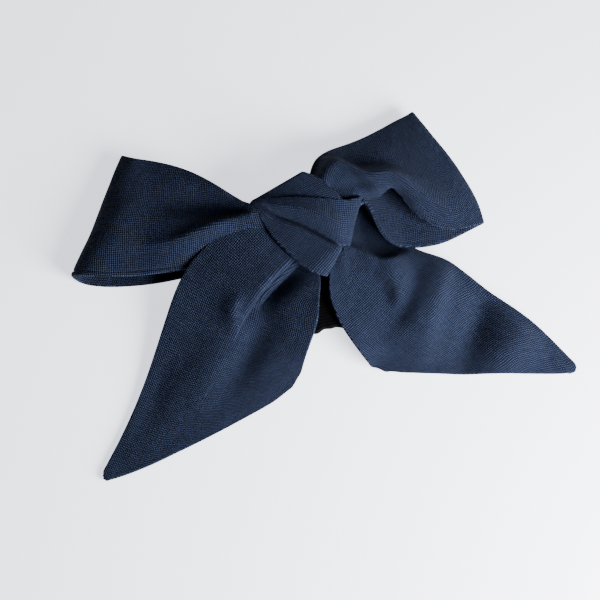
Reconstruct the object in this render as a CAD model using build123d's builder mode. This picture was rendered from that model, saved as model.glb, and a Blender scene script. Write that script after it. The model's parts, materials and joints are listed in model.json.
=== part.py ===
"""Linen hair bow tied from one flat tube of cloth, on a ribbon-lined alligator clip. It lies on its back.

Frame: +Z up, origin on the surface that the bow lies on, under the middle of its outline.
+X runs from the left loop to the right one, and +Y from the tails towards the loops. Millimetres.
"""

import os
from math import cos, radians, sin, tan

from build123d import *

# Where the knot stands in the frame.
KNOT_X = 1.2
KNOT_Y = 12.0

# Cloth: a pressed tube of linen, two layers with the seam allowance inside.
CLOTH = 1.2
CUT_REACH = 120.0
CUT_HEIGHT = 30.0

# Alligator clip: two arms of sheet steel on one pin, nose towards the tails.
CLIP_X = 1.5
CLIP_SHEET = 0.6
ARM_WIDTH = 9.0
NOSE_LENGTH = 29.0
LEVER_LENGTH = 13.0
HINGE_Y = -2.0
HINGE_Z = 5.0
ARM_TO_PIN = 1.8
ARM_CORNER = 2.5
PIN_RADIUS = 0.8
PIN_CLEARANCE = 0.05
PIN_HEAD_RADIUS = 1.4
PIN_HEAD = 0.4
HEAD_ROUND = 0.25
JAW_WIDTH = 7.0
JAW_TILT = 6.2
JAW_BELOW_PIN = 2.1
LEVER_BEND = 6.0
LEVER_RUN = 11.0
TOOTH_PITCH = 1.6
TOOTH_COUNT = 8
TOOTH_HEIGHT = 0.15

# Side flanges of the jaw, and the ears that the pin goes through, as (along, up) from the pin.
NOSE_BARE = 1.0
FLANGE_END = -5.0
FLANGE_FILL = 0.8
FLANGE_HEEL = 0.4
FLANGE_NECK = (-2.6, 0.4)
FLANGE_FOOT = 2.0
UPPER_EAR = [(3.5, ARM_TO_PIN), (2.0, -0.8), (0.9, -2.0), (-0.9, -2.0), (-2.0, -0.8), (-3.5, ARM_TO_PIN)]
LOWER_EAR = [(-1.9, 0.6), (-0.8, 1.5), (0.8, 1.5), (1.9, 0.6)]
LOWER_EAR_BACK = 3.2
LOWER_EAR_SINK = 0.2

# Torsion spring round the pin. Its legs run back to the levers at these angles above +Y.
WIRE = 0.6
COIL_RADIUS = 1.3
COIL_PITCH = 0.7
COIL_FULL_TURNS = 4
UPPER_LEG = 1.4
LOWER_LEG = -12.0
UPPER_LEG_LENGTH = 8.0
LOWER_LEG_LENGTH = 7.6

# Grosgrain ribbon glued round the upper arm, and the felt pad that carries the knot.
RIBBON = 0.4
RIBBON_WIDTH = 12.0
LINING_START = -6.0
LINING_TUCK = 3.0
FELT = 1.2
FELT_SIZE = (12.0, 10.0)
FELT_ROUND = 0.3
STITCH_RADIUS = 0.3
STITCH_LENGTH = 2.4
STITCH_INSET = 2.2
STITCH_BEARINGS = (-33, -11, 11, 33, 147, 169, 191, 213)

ARM_BOTTOM = HINGE_Z + ARM_TO_PIN
ARM_TOP = ARM_BOTTOM + CLIP_SHEET
FELT_BOTTOM = ARM_TOP + RIBBON
FELT_TOP = FELT_BOTTOM + FELT
CORE_TOP = 17.2
LOWER_WRAP_TOP = 18.6
UPPER_WRAP_TOP = 20.4
LOWER_WRAP_ROUND = 1.0
UPPER_WRAP_ROUND = 1.6

# Corners of the knot seen from above: the two wraps fan out from one point on its left.
KNOT_LEFT = (-14, 9)
KNOT_TOP = (2.5, 15.5)
KNOT_RIGHT = (17, 1.5)
KNOT_FORK = (11, -8.5)
KNOT_FOOT = (3.5, -15)
KNOT_WAIST = (-6.5, -7.5)


def knot_plane(height=0.0):
    """The plane z = height with its origin on the knot's own axis."""
    return Plane((KNOT_X, KNOT_Y, height))


def side_plane(direction):
    """An upright plane through the knot's axis: its x runs outwards along the cloth, its y is up."""
    return Plane(origin=(KNOT_X, KNOT_Y, 0), x_dir=(cos(radians(direction)), sin(radians(direction)), 0),
                 z_dir=(sin(radians(direction)), -cos(radians(direction)), 0))


def clip_plane(across=0.0):
    """The upright plane across the hinge, `across` mm off the clip's middle: its x is +Y, its y is +Z."""
    return Plane(origin=(KNOT_X + CLIP_X + across, KNOT_Y + HINGE_Y, HINGE_Z), x_dir=(0, 1, 0), z_dir=(1, 0, 0))


def tilted(along, normal):
    """A point of the jaw's own profile, turned down by the jaw's tilt about the hinge."""
    slope = radians(JAW_TILT)
    return (along * cos(slope) + normal * sin(slope), -along * sin(slope) + normal * cos(slope))


pieces = {}


def keep(builder, name):
    """Labels a finished piece and sets it aside for export."""
    builder.part.label = name
    pieces[name] = builder.part


# Tails: one layer of the strip, flat over the clip, then down to the surface and out to the point.
TAIL_REST = FELT_TOP
TAIL_SHOULDER = 27.0
TAIL_LANDING = 48.0
TAIL_CLEAR = 0.3
tail_under = [(0, TAIL_REST), (TAIL_SHOULDER, TAIL_REST), (TAIL_LANDING, 0), (CUT_REACH, 0)]

LEFT_TAIL = [KNOT_LEFT, (-28, 2.5), (-36.5, -3.5), (-44.5, -15), (-67, -50), (-76, -62), (-61.5, -61.5),
             (-29, -52.5), (-12, -44.5), (-3, -27.5), (1.5, -15.5), KNOT_FOOT, KNOT_WAIST]
RIGHT_TAIL = [KNOT_RIGHT, KNOT_FORK, (5.5, -14.5), (3.5, -18.5), (6, -31), (13, -46.5), (35, -52), (74, -61),
              (65.5, -45.5), (45.5, -21.5), (34.5, -13.5), (26.5, -8.5)]

# Each tail's outline, and the bearing on which it leaves the knot.
TAILS = {"left_tail": (LEFT_TAIL, 219.0), "right_tail": (RIGHT_TAIL, 320.5)}

for tail_name, (outline, heading) in TAILS.items():
    with BuildPart() as tail:
        with BuildSketch(side_plane(heading)):
            with BuildLine():
                Polyline(*tail_under, *[(u, z + CLOTH) for u, z in reversed(tail_under)], close=True)
            make_face()
        extrude(amount=CUT_REACH, both=True)
        with BuildSketch(knot_plane()):
            with BuildLine():
                Polyline(*outline, close=True)
            make_face()
            offset(amount=-TAIL_CLEAR / 2, kind=Kind.INTERSECTION)
        extrude(amount=CUT_HEIGHT, mode=Mode.INTERSECT)
    keep(tail, tail_name)

# Loops: the strip runs out along the surface, folds over and comes back above itself to the knot.
LOOP_ROOT = 14.0
LOOP_SHOULDER = 30.0
SHOULDER_EASE = 1.0
LOOP_LIFT = 10.2
LOOP_ROOT_LIFT = 9.8
LOOP_END_TOP = 7.2
LOOP_CROWN = 13.4
LOOP_TOP = 14.4
LEFT_LOOP = [(-14.5, 10), (-31, 27), (-50.5, 38.5), (-74, 3), (-65, -2.5), (-53, -4), (-37, -3), (-28, 3),
             (-15, 9)]
RIGHT_LOOP = [(2.5, 16), (9, 22), (21, 26.5), (43.5, 33.5), (57.5, -8), (45, -10), (32.5, -9.5), (26, -7),
              (17.5, 1.5)]

# Each loop's outline, the bearing on which it leaves the knot, and how far out it folds over.
LOOPS = {"left_loop": (LEFT_LOOP, 147.0, 63.0), "right_loop": (RIGHT_LOOP, 18.5, 51.5)}

for loop_name, (outline, heading, fold) in LOOPS.items():
    with BuildPart() as loop:
        with BuildSketch(side_plane(heading)):
            with BuildLine():
                Polyline((0, LOOP_LIFT), (LOOP_ROOT, LOOP_ROOT_LIFT), (LOOP_SHOULDER, 0), (fold, 0),
                         (fold, LOOP_END_TOP), (LOOP_SHOULDER, LOOP_CROWN), (0, LOOP_TOP), close=True)
            make_face()
            with BuildLine():
                Polyline((0, LOOP_LIFT + CLOTH), (LOOP_ROOT, LOOP_ROOT_LIFT + CLOTH),
                         (LOOP_SHOULDER + SHOULDER_EASE, CLOTH), (fold - CLOTH, CLOTH),
                         (fold - CLOTH, LOOP_END_TOP - CLOTH), (LOOP_SHOULDER, LOOP_CROWN - CLOTH),
                         (0, LOOP_TOP - CLOTH), close=True)
            make_face(mode=Mode.SUBTRACT)
        extrude(amount=CUT_REACH, both=True)
        with BuildSketch(knot_plane()):
            with BuildLine():
                Polyline(*outline, close=True)
            make_face()
        extrude(amount=CUT_HEIGHT, mode=Mode.INTERSECT)
    keep(loop, loop_name)

# Knot: a core of folded cloth and the two turns of the strip that lie over it and down its sides.
with BuildPart() as knot_core:
    with BuildSketch(knot_plane(FELT_TOP)):
        with BuildLine():
            Polyline(KNOT_LEFT, KNOT_TOP, KNOT_RIGHT, KNOT_FORK, KNOT_FOOT, KNOT_WAIST, close=True)
        make_face()
        offset(amount=-CLOTH, kind=Kind.INTERSECTION)
    extrude(amount=CORE_TOP - FELT_TOP)
keep(knot_core, "knot_core")

WRAPS = {
    "knot_upper_wrap": ([KNOT_LEFT, KNOT_TOP, KNOT_RIGHT, KNOT_FORK], UPPER_WRAP_TOP, UPPER_WRAP_ROUND),
    "knot_lower_wrap": ([KNOT_LEFT, KNOT_FORK, KNOT_FOOT, KNOT_WAIST], LOWER_WRAP_TOP, LOWER_WRAP_ROUND),
}
for wrap_name, (outline, top, round_over) in WRAPS.items():
    with BuildPart() as wrap:
        with BuildSketch(knot_plane(FELT_TOP)):
            with BuildLine():
                Polyline(*outline, close=True)
            make_face()
        extrude(amount=top - FELT_TOP)
        fillet(wrap.edges().group_by(Axis.Z)[-1], round_over)
        add(knot_core.part, mode=Mode.SUBTRACT)
    keep(wrap, wrap_name)

# Felt pad under the knot, with the stitches that keep the knot tied.
felt_plane = Plane((KNOT_X + CLIP_X, KNOT_Y, FELT_BOTTOM))
with BuildPart() as felt_pad:
    with BuildSketch(felt_plane):
        Ellipse(*FELT_SIZE)
    extrude(amount=FELT)
    fillet(felt_pad.edges().filter_by(GeomType.ELLIPSE), FELT_ROUND)
keep(felt_pad, "felt_pad")

with BuildPart() as tack_stitches:
    for bearing in STITCH_BEARINGS:
        spot = felt_plane.offset(-STITCH_RADIUS).location * Pos(
            (FELT_SIZE[0] - STITCH_INSET) * cos(radians(bearing)),
            (FELT_SIZE[1] - STITCH_INSET) * sin(radians(bearing)))
        with Locations(spot * Rot(0, 90, 0)):
            Cylinder(STITCH_RADIUS, STITCH_LENGTH)
keep(tack_stitches, "tack_stitches")

# Upper arm: a flat strip with an ear folded down on each side of the hinge.
with BuildPart() as clip_upper_arm:
    with BuildSketch(Plane((KNOT_X + CLIP_X, KNOT_Y + HINGE_Y, ARM_BOTTOM))):
        with Locations((0, (LEVER_LENGTH - NOSE_LENGTH) / 2)):
            RectangleRounded(ARM_WIDTH, NOSE_LENGTH + LEVER_LENGTH, ARM_CORNER)
    extrude(amount=CLIP_SHEET)
    for side in (-1, 1):
        with BuildSketch(clip_plane(side * (ARM_WIDTH / 2 - CLIP_SHEET / 2))):
            with BuildLine():
                Polyline(*UPPER_EAR, close=True)
            make_face()
            Circle(PIN_RADIUS, mode=Mode.SUBTRACT)
        extrude(amount=CLIP_SHEET / 2, both=True)
keep(clip_upper_arm, "clip_upper_arm")

# Lower arm: jaw with toothed side flanges, hinge ears, and a lever that bends away from the upper arm.
jaw_top = CLIP_SHEET / 2 - JAW_BELOW_PIN
jaw_under = -CLIP_SHEET / 2 - JAW_BELOW_PIN
lever_slope = tan(radians(LEVER_BEND))
lever_start = LEVER_LENGTH - LEVER_RUN
lever_drop = LEVER_RUN * lever_slope


def flange_top(along):
    """Height of the side flange: it fills most of the wedge between the jaw and the ribbon above it."""
    ribbon_face = (ARM_TO_PIN - RIBBON + along * sin(radians(JAW_TILT))) / cos(radians(JAW_TILT))
    return jaw_top + FLANGE_FILL * (ribbon_face - jaw_top)


flange_start = NOSE_BARE - NOSE_LENGTH
flange_heel = flange_top(FLANGE_END) * FLANGE_HEEL
teeth = []
for i in range(TOOTH_COUNT):
    root = flange_start + (i + 0.5) * TOOTH_PITCH
    teeth += [(root, flange_top(root)), (root + TOOTH_PITCH / 2, flange_top(root) - TOOTH_HEIGHT)]

with BuildPart() as clip_lower_arm:
    with BuildSketch(clip_plane()):
        with BuildLine():
            Polyline(
                *[tilted(*p) for p in (
                    (-NOSE_LENGTH, jaw_under), (lever_start, jaw_under),
                    (LEVER_LENGTH, jaw_under - lever_drop), (LEVER_LENGTH, jaw_top - lever_drop),
                    (lever_start, jaw_top), (-NOSE_LENGTH, jaw_top))],
                close=True)
        make_face()
    extrude(amount=JAW_WIDTH / 2, both=True)
    for side in (-1, 1):
        with BuildSketch(clip_plane(side * (JAW_WIDTH / 2 - CLIP_SHEET / 2))):
            with BuildLine():
                Polyline(
                    *[tilted(*p) for p in (
                        (flange_start, jaw_top), *teeth, (FLANGE_END, flange_heel), FLANGE_NECK,
                        (FLANGE_END + FLANGE_FOOT, jaw_top))],
                    close=True)
            make_face()
            with BuildLine():
                Polyline(
                    *[tilted(*p) for p in (
                        (FLANGE_END, jaw_top), *LOWER_EAR, (LOWER_EAR_BACK, jaw_top - LOWER_EAR_SINK))],
                    close=True)
            make_face()
            Circle(PIN_RADIUS + PIN_CLEARANCE, mode=Mode.SUBTRACT)
        extrude(amount=CLIP_SHEET / 2, both=True)
keep(clip_lower_arm, "clip_lower_arm")

# Hinge pin: a rivet through all four ears, with a head at each end.
with BuildPart() as hinge_pin:
    with BuildSketch(clip_plane(-ARM_WIDTH / 2)):
        Circle(PIN_RADIUS)
    extrude(amount=ARM_WIDTH)
    for side in (-1, 1):
        with BuildSketch(clip_plane(side * ARM_WIDTH / 2)):
            Circle(PIN_HEAD_RADIUS)
        extrude(amount=side * PIN_HEAD)
    fillet(hinge_pin.edges().group_by(Axis.X)[0], HEAD_ROUND)
    fillet(hinge_pin.edges().group_by(Axis.X)[-1], HEAD_ROUND)
keep(hinge_pin, "hinge_pin")

# Torsion spring: a close coil round the pin, with one leg behind it against each lever.
coil_turns = COIL_FULL_TURNS + (180 + LOWER_LEG - UPPER_LEG) / 360
coil_length = coil_turns * COIL_PITCH
coil_start = Plane(
    origin=clip_plane(-coil_length / 2).origin, z_dir=(1, 0, 0),
    x_dir=(0, -sin(radians(UPPER_LEG)), cos(radians(UPPER_LEG))))
with BuildPart() as torsion_spring:
    with BuildLine() as coil:
        Helix(COIL_PITCH, coil_length, COIL_RADIUS)
    wire = coil_start.location * coil.line
    with BuildSketch(Plane(origin=wire @ 0, z_dir=wire % 0)):
        Circle(WIRE / 2)
    sweep(path=wire, is_frenet=True)
    for end, reach in ((0, -UPPER_LEG_LENGTH), (1, LOWER_LEG_LENGTH)):
        with BuildSketch(Plane(origin=wire @ end, z_dir=wire % end)):
            Circle(WIRE / 2)
        extrude(amount=reach)
keep(torsion_spring, "torsion_spring")

# Grosgrain ribbon: under the upper arm from the hinge to the nose, back over its top, round the end of the lever.
lining_end = LEVER_LENGTH - LINING_TUCK
arm_over = ARM_TO_PIN + CLIP_SHEET
with BuildPart() as clip_ribbon:
    with BuildSketch(clip_plane()):
        with BuildLine():
            Polyline(
                (LINING_START, ARM_TO_PIN), (-NOSE_LENGTH, ARM_TO_PIN), (-NOSE_LENGTH, arm_over),
                (LEVER_LENGTH, arm_over), (LEVER_LENGTH, ARM_TO_PIN), (lining_end, ARM_TO_PIN),
                (lining_end, ARM_TO_PIN - RIBBON), (LEVER_LENGTH + RIBBON, ARM_TO_PIN - RIBBON),
                (LEVER_LENGTH + RIBBON, arm_over + RIBBON), (-NOSE_LENGTH - RIBBON, arm_over + RIBBON),
                (-NOSE_LENGTH - RIBBON, ARM_TO_PIN - RIBBON), (LINING_START, ARM_TO_PIN - RIBBON), close=True)
        make_face()
    extrude(amount=RIBBON_WIDTH / 2, both=True)
keep(clip_ribbon, "clip_ribbon")

os.makedirs("parts", exist_ok=True)
for name, part in pieces.items():
    export_step(part, f"parts/{name}.step")
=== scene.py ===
"""The looks of the linen hair bow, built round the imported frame.

Lengths are millimetres from the middle of the knot, with z up from the surface that the bow lies on.
metres() turns them into Blender's metres in the row frame.
"""

import json
from math import cos, pi, radians, sin

import bmesh
import bpy
import numpy as np
from mathutils import Matrix, Vector, noise


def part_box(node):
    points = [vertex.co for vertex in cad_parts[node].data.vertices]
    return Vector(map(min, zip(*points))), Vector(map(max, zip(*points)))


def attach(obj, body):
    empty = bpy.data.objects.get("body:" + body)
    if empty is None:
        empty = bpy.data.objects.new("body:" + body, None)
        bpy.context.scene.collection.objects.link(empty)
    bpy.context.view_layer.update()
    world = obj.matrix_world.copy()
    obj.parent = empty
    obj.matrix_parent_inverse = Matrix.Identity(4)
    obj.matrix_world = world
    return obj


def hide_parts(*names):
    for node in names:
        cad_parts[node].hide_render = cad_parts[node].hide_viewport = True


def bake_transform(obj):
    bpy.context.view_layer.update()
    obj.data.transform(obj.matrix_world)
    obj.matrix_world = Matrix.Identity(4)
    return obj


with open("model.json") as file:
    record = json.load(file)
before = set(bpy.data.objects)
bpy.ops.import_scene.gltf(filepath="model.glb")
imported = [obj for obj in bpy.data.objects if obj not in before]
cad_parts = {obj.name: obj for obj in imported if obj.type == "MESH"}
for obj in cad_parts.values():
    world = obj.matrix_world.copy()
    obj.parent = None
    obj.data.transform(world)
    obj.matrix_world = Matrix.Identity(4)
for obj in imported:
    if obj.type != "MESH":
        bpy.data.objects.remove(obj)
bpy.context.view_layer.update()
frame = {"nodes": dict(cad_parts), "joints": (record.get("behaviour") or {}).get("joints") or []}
MM = 0.001

# The felt pad's middle is this far to the right of the knot's.
PAD_OFFSET = 1.5
pad_low, pad_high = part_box("felt_pad")
KNOT = Vector(((pad_low.x + pad_high.x) / 2 - PAD_OFFSET * MM, (pad_low.y + pad_high.y) / 2, 0))
HINGE = Vector(frame["joints"][0]["pos_m"])

# The thickness of the pressed strip, which is two layers of linen.
CLOTH = 1.2
# The grid's points are this far apart, and lie closer in the columns beside each edge.
GRID_STEP = 0.6
EDGE_PLACES = (0.0, 0.5, 0.9, 1.15, 1.45, 1.75, 2.2)


def metres(points):
    """Knot millimetres to row-frame metres."""
    return np.asarray(points, float) * MM + np.array(KNOT)


# ---------------------------------------------------------------- surfaces

# Keeps a length of zero from being divided by.
TINY = 1e-9
# A fold's path is read at this many places. Its sides fall away as a bell, or as a peak where it is crisp.
FOLD_PLACES = 60
BELL_FALL = 1.6
PEAK_FALL = 2.2
# A fold fades over FOLD_FADE at its first and last station, and over EDGE_FADE at the strip's edges.
FOLD_FADE = 3
EDGE_FADE = 7
# A bowed line takes the lines within this share of the strip's length with it.
BOW_SPREAD = 0.3
# A corner's two ways inwards are read over this many rows and columns.
CORNER_ROWS = 5
CORNER_COLUMNS = 9


def spline(knots, values, at):
    """A natural cubic spline through values (first axis along the knots), read at the given places."""
    knots, values, at = (np.asarray(a, float) for a in (knots, values, at))
    count, gap = len(knots), np.diff(knots)
    slope = np.diff(values, axis=0) / gap.reshape((-1,) + (1,) * (values.ndim - 1))
    system = np.eye(count)
    right = np.zeros_like(values)
    for i in range(1, count - 1):
        system[i, i - 1:i + 2] = gap[i - 1], 2 * (gap[i - 1] + gap[i]), gap[i]
        right[i] = 6 * (slope[i] - slope[i - 1])
    second = np.linalg.solve(system, right.reshape(count, -1)).reshape(values.shape)
    span = np.clip(np.searchsorted(knots, at, side="right") - 1, 0, count - 2)
    shape = (-1,) + (1,) * (values.ndim - 1)
    width = gap[span].reshape(shape)
    a = (knots[span + 1] - at).reshape(shape) / width
    b = 1 - a
    bend = ((a**3 - a) * second[span] + (b**3 - b) * second[span + 1]) * width**2 / 6
    return a * values[span] + b * values[span + 1] + bend


def smooth(x):
    """A smooth step from 0 to 1."""
    x = np.clip(x, 0, 1)
    return x * x * (3 - 2 * x)


def side_of(points, line):
    """For each point: the nearest place on a line (both seen from above), as its index, the distance from
    it, and how squarely the point is to the left of the line's heading, from -1 to 1."""
    tangent = np.gradient(line, axis=0)
    tangent /= np.linalg.norm(tangent, axis=1, keepdims=True)
    offset = points[:, None] - line[None]
    near = np.argmin((offset**2).sum(-1), axis=1)
    away = offset[np.arange(len(points)), near]
    distance = np.linalg.norm(away, axis=1)
    left = tangent[near, 0] * away[:, 1] - tangent[near, 1] * away[:, 0]
    return near, distance, left / np.maximum(distance, TINY)


def fold(grid, path, lift, reach, crisp=0.0):
    """How far a fold moves each point of a grid. path is its crest seen from above, lift its height at each
    point of the path, and reach how far it spreads to the left and to the right of the crest."""
    path = np.array(path, float)
    along = np.r_[0, np.cumsum(np.linalg.norm(np.diff(path, axis=0), axis=1))]
    fine = np.linspace(0, along[-1], FOLD_PLACES)
    line = spline(along, path, fine)
    heights = spline(along, np.array(lift, float), fine)
    near, distance, left = side_of(grid[..., :2].reshape(-1, 2), line)
    share = distance / (reach[1] + (reach[0] - reach[1]) * (left + 1) / 2)
    profile = np.exp(-BELL_FALL * share**2) * (1 - crisp) + np.exp(-PEAK_FALL * share) * crisp
    move = np.zeros((len(near), 3))
    move[:, 2] = heights[near] * profile
    return move.reshape(grid.shape)


def soften(values, passes):
    """Rounds off corners along the second axis, and keeps its two ends where they are."""
    for _ in range(passes):
        inner = (values[:, :-2] + 2 * values[:, 1:-1] + values[:, 2:]) / 4
        values = np.concatenate([values[:, :1], inner, values[:, -1:]], axis=1)
    return values


def strip(stations, folds=(), rounding=3, end_bow=0.0, far=1.0, corners=(0, 0), edge_hold=1.0):
    """The middle surface of a strip of cloth. Each station is a line across it, from its one edge to its
    other, given by two or more points. A fold is (first station, last station, then what fold() takes), and
    keeps the share edge_hold of its height at the strip's edges. end_bow bends the line at `far` (a share
    of the length) outwards, and corners holds the radii that round off the two corners of the last line."""
    stations = np.array(stations, float)
    steps = np.linalg.norm(np.diff(stations, axis=0), axis=2).mean(1)
    knots = np.r_[0, np.cumsum(steps)]
    at = np.linspace(0, knots[-1], int(knots[-1] / GRID_STEP) + 1)
    lines = spline(knots, stations, at)
    gaps = np.linalg.norm(np.diff(stations, axis=1), axis=2).mean(0)
    marks = np.r_[0, np.cumsum(gaps)] / gaps.sum()
    widest = np.linalg.norm(np.diff(stations, axis=1), axis=2).sum(1).max()
    edge = np.array(EDGE_PLACES) / widest
    inner = int(widest / GRID_STEP)
    across = np.r_[edge, np.linspace(edge[-1], 1 - edge[-1], inner)[1:-1], 1 - edge[::-1]]
    grid = np.zeros((len(at), len(across), 3))
    for row, line in enumerate(lines):
        for axis in range(3):
            grid[row, :, axis] = np.interp(across, marks, line[:, axis])
    grid = soften(grid, rounding)
    if end_bow:
        bulge = (4 * across * (1 - across))[None, :, None]
        middle = lines.mean(1)
        heading = middle[int(far * (len(at) - 1))] - middle[0]
        heading[2] = 0
        heading /= np.linalg.norm(heading)
        nearness = smooth(1 - np.abs(at / knots[-1] - far) / BOW_SPREAD)[:, None, None]
        grid += end_bow * bulge * nearness * heading
    width = np.linalg.norm(lines[-1, -1] - lines[-1, 0])
    for radius, aside, side, step in ((corners[0], across, 0, 1), (corners[1], 1 - across, -1, -1)):
        if radius:
            edge_steps = np.linalg.norm(np.diff(grid[:, side], axis=0), axis=1)
            ahead = np.r_[np.cumsum(edge_steps[::-1])[::-1], 0][:, None]
            back = grid[-1 - CORNER_ROWS, side] - grid[-1, side]
            inward = grid[-1, side + CORNER_COLUMNS * step] - grid[-1, side]
            end_near = np.clip(1 - ahead / radius, 0, 1)
            side_near = np.clip(1 - (aside * width)[None, :] / radius, 0, 1)
            # A square corner becomes a quarter of a circle.
            back_move = radius * end_near * (1 - np.sqrt(1 - side_near**2 / 2))
            side_move = radius * side_near * (1 - np.sqrt(1 - end_near**2 / 2))
            grid += back_move[..., None] * back / np.linalg.norm(back)
            grid += side_move[..., None] * inward / np.linalg.norm(inward)
    plain = grid.copy()
    held = edge_hold + (1 - edge_hold) * smooth(np.minimum(across, 1 - across) * widest / EDGE_FADE)
    for first, last, *shape in folds:
        fade = smooth((at - knots[first]) / FOLD_FADE + 1) * smooth((knots[last] - at) / FOLD_FADE + 1)
        grid += fold(plain, *shape) * fade[:, None, None] * held[None, :, None]
    return grid


def strip_uv(grid):
    """Place on the flat strip, in mm: along it by its own length, and across it from its middle."""
    along = np.linalg.norm(np.diff(grid, axis=0), axis=2)
    along = np.vstack([np.zeros(grid.shape[1]), np.cumsum(along, axis=0)])
    # The threads stay even where the cloth is gathered, so the middle of the strip sets half of the pace.
    middle = grid.shape[1] // 2
    along = 0.5 * along + 0.5 * along[:, middle][:, None]
    across = np.linalg.norm(np.diff(grid, axis=1), axis=2)
    across = np.hstack([np.zeros((grid.shape[0], 1)), np.cumsum(across, axis=1)])
    return np.stack([along, across - across[:, middle][:, None]], axis=-1)


# The seam runs this far inside the cloth's edges, in a groove beside a low roll.
SEAM_INSET = 1.3
GROOVE_WIDTH = 0.32
ROLL_WIDTH = 0.5
ROLL_HEIGHT = 0.35


def seam(uv, first, last, end):
    """Height of the sewn line that runs just inside the first edge, the last edge and the end, each as deep
    as its own number says."""
    height = np.zeros(uv.shape[:2])
    gaps = (uv[..., 1] - uv[:, :1, 1], uv[:, -1:, 1] - uv[..., 1], uv[-1:, :, 0] - uv[..., 0])
    for gap, depth in zip(gaps, (first, last, end)):
        groove = np.exp(-(((gap - SEAM_INSET) / GROOVE_WIDTH) ** 2))
        rolled = np.exp(-(((gap - SEAM_INSET / 2) / ROLL_WIDTH) ** 2))
        height += depth * (ROLL_HEIGHT * rolled - groove)
    return height


def normals_of(grid):
    """Unit normals of a grid of points."""
    along = np.gradient(grid, axis=0)
    across = np.gradient(grid, axis=1)
    normal = np.cross(along, across)
    return normal / np.maximum(np.linalg.norm(normal, axis=2, keepdims=True), TINY)


SWELL_LENGTH, SWELL_WIDTH = 15, 11
# The small dents are this share as high as the swells.
DENT_LENGTH, DENT_WIDTH, DENT_SHARE = 5, 6, 0.35
# The pleats run this far out of the knot.
PLEAT_LENGTH, PLEAT_WIDTH, PLEAT_REACH = 30, 4.2, 16.0
# Each kind of unevenness reads the noise in its own place.
DENT_SEED, PLEAT_SEED = 7.3, 21.7


def wrinkle(grid, uv, seed, height, pleats):
    """Small unevenness of pressed linen, and the fine pleats that run out of the knot."""
    normal = normals_of(grid)
    lift = np.zeros(grid.shape[:2])
    for i in range(grid.shape[0]):
        for j in range(grid.shape[1]):
            u, v = uv[i, j]
            swell = noise.noise(Vector((u / SWELL_LENGTH, v / SWELL_WIDTH, seed)))
            dent = noise.noise(Vector((u / DENT_LENGTH, v / DENT_WIDTH, seed + DENT_SEED)))
            pleat = noise.noise(Vector((u / PLEAT_LENGTH, v / PLEAT_WIDTH, seed + PLEAT_SEED)))
            lift[i, j] = height * (swell + DENT_SHARE * dent)
            lift[i, j] += pleats * pleat * np.exp(-((u / PLEAT_REACH) ** 2)) * 2
    return grid + normal * lift[..., None]


# The lowest that the middle of the cloth lies, and how far the rim of a piece stands out from its grid.
LOWEST = 0.75
RIM_REACH = 0.35


def keep_above(grid):
    """Cloth lies on the surface and never goes below it."""
    out = grid.copy()
    out[..., 2] = np.maximum(out[..., 2], LOWEST)
    return out


def fit(grid, node):
    """Stretches a piece a little about the knot, so that its far end reaches as far as the CAD solid's."""
    low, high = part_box(node)
    out = grid.copy()
    for axis in (0, 1):
        ends = [(low[axis] - KNOT[axis]) / MM, (high[axis] - KNOT[axis]) / MM]
        far = max(ends, key=abs)
        mine = max((grid[..., axis].min(), grid[..., axis].max()), key=lambda x: x * np.sign(far))
        out[..., axis] *= (far - np.sign(far) * RIM_REACH) / mine
    return out


# Profiles of a rim, from its upper face to its lower: how far outwards from the edge of the grid, and how high
# as a share of half the thickness. The first has the line in its middle where two layers are sewn together.
SEAMED_EDGE = (
    (0.22, 0.78), (0.34, 0.42), (0.3, 0.16), (-0.1, 0.0), (0.3, -0.16), (0.34, -0.42), (0.22, -0.78))
ROUND_EDGE = ((0.3, 0.8), (0.5, 0.3), (0.5, -0.3), (0.3, -0.8))


def slab(name, grid, uv, thickness, edge, relief=0.0):
    """A closed piece of cloth round its middle surface. relief is extra height on the upper face."""
    rows, columns = grid.shape[:2]
    normal = normals_of(grid)
    half = np.full((rows, columns), thickness / 2)
    upper = grid + normal * (half + relief)[..., None]
    lower = grid - normal * half[..., None]
    index = np.arange(rows * columns).reshape(rows, columns)
    rim = np.concatenate([index[0, :], index[1:, -1], index[-1, -2::-1], index[-2:0:-1, 0]])
    flat_grid, flat_normal = grid.reshape(-1, 3), normal.reshape(-1, 3)
    flat_uv = uv.reshape(-1, 2)
    inside = np.concatenate([index[1, :], index[1:, -2], index[-2, -2::-1], index[-2:0:-1, 1]])
    outward = flat_grid[rim] - flat_grid[inside]
    outward -= (outward * flat_normal[rim]).sum(1, keepdims=True) * flat_normal[rim]
    outward = outward + np.roll(outward, 1, 0) + np.roll(outward, -1, 0)
    outward /= np.maximum(np.linalg.norm(outward, axis=1, keepdims=True), TINY)
    rings = [flat_grid[rim] + outward * out + flat_normal[rim] * share * thickness / 2 for out, share in edge]
    points = np.concatenate([upper.reshape(-1, 3), lower.reshape(-1, 3), *rings])
    coords = np.concatenate([flat_uv, flat_uv, *[flat_uv[rim]] * len(edge)])
    top, bottom = index, index + rows * columns
    quads = []
    a, b, c, d = top[:-1, :-1], top[:-1, 1:], top[1:, 1:], top[1:, :-1]
    quads.append(np.stack([a, d, c, b], -1).reshape(-1, 4))
    a, b, c, d = bottom[:-1, :-1], bottom[:-1, 1:], bottom[1:, 1:], bottom[1:, :-1]
    quads.append(np.stack([a, b, c, d], -1).reshape(-1, 4))
    base = 2 * rows * columns
    chain = [top.reshape(-1)[rim]]
    chain += [base + k * len(rim) + np.arange(len(rim)) for k in range(len(edge))]
    chain.append(bottom.reshape(-1)[rim])
    for one, two in zip(chain, chain[1:]):
        quads.append(np.stack([one, np.roll(one, -1), np.roll(two, -1), two], -1))
    return mesh_piece(name, points, np.concatenate(quads), coords)


# The UV maps hold centimetres.
UV_UNIT = 10


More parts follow.
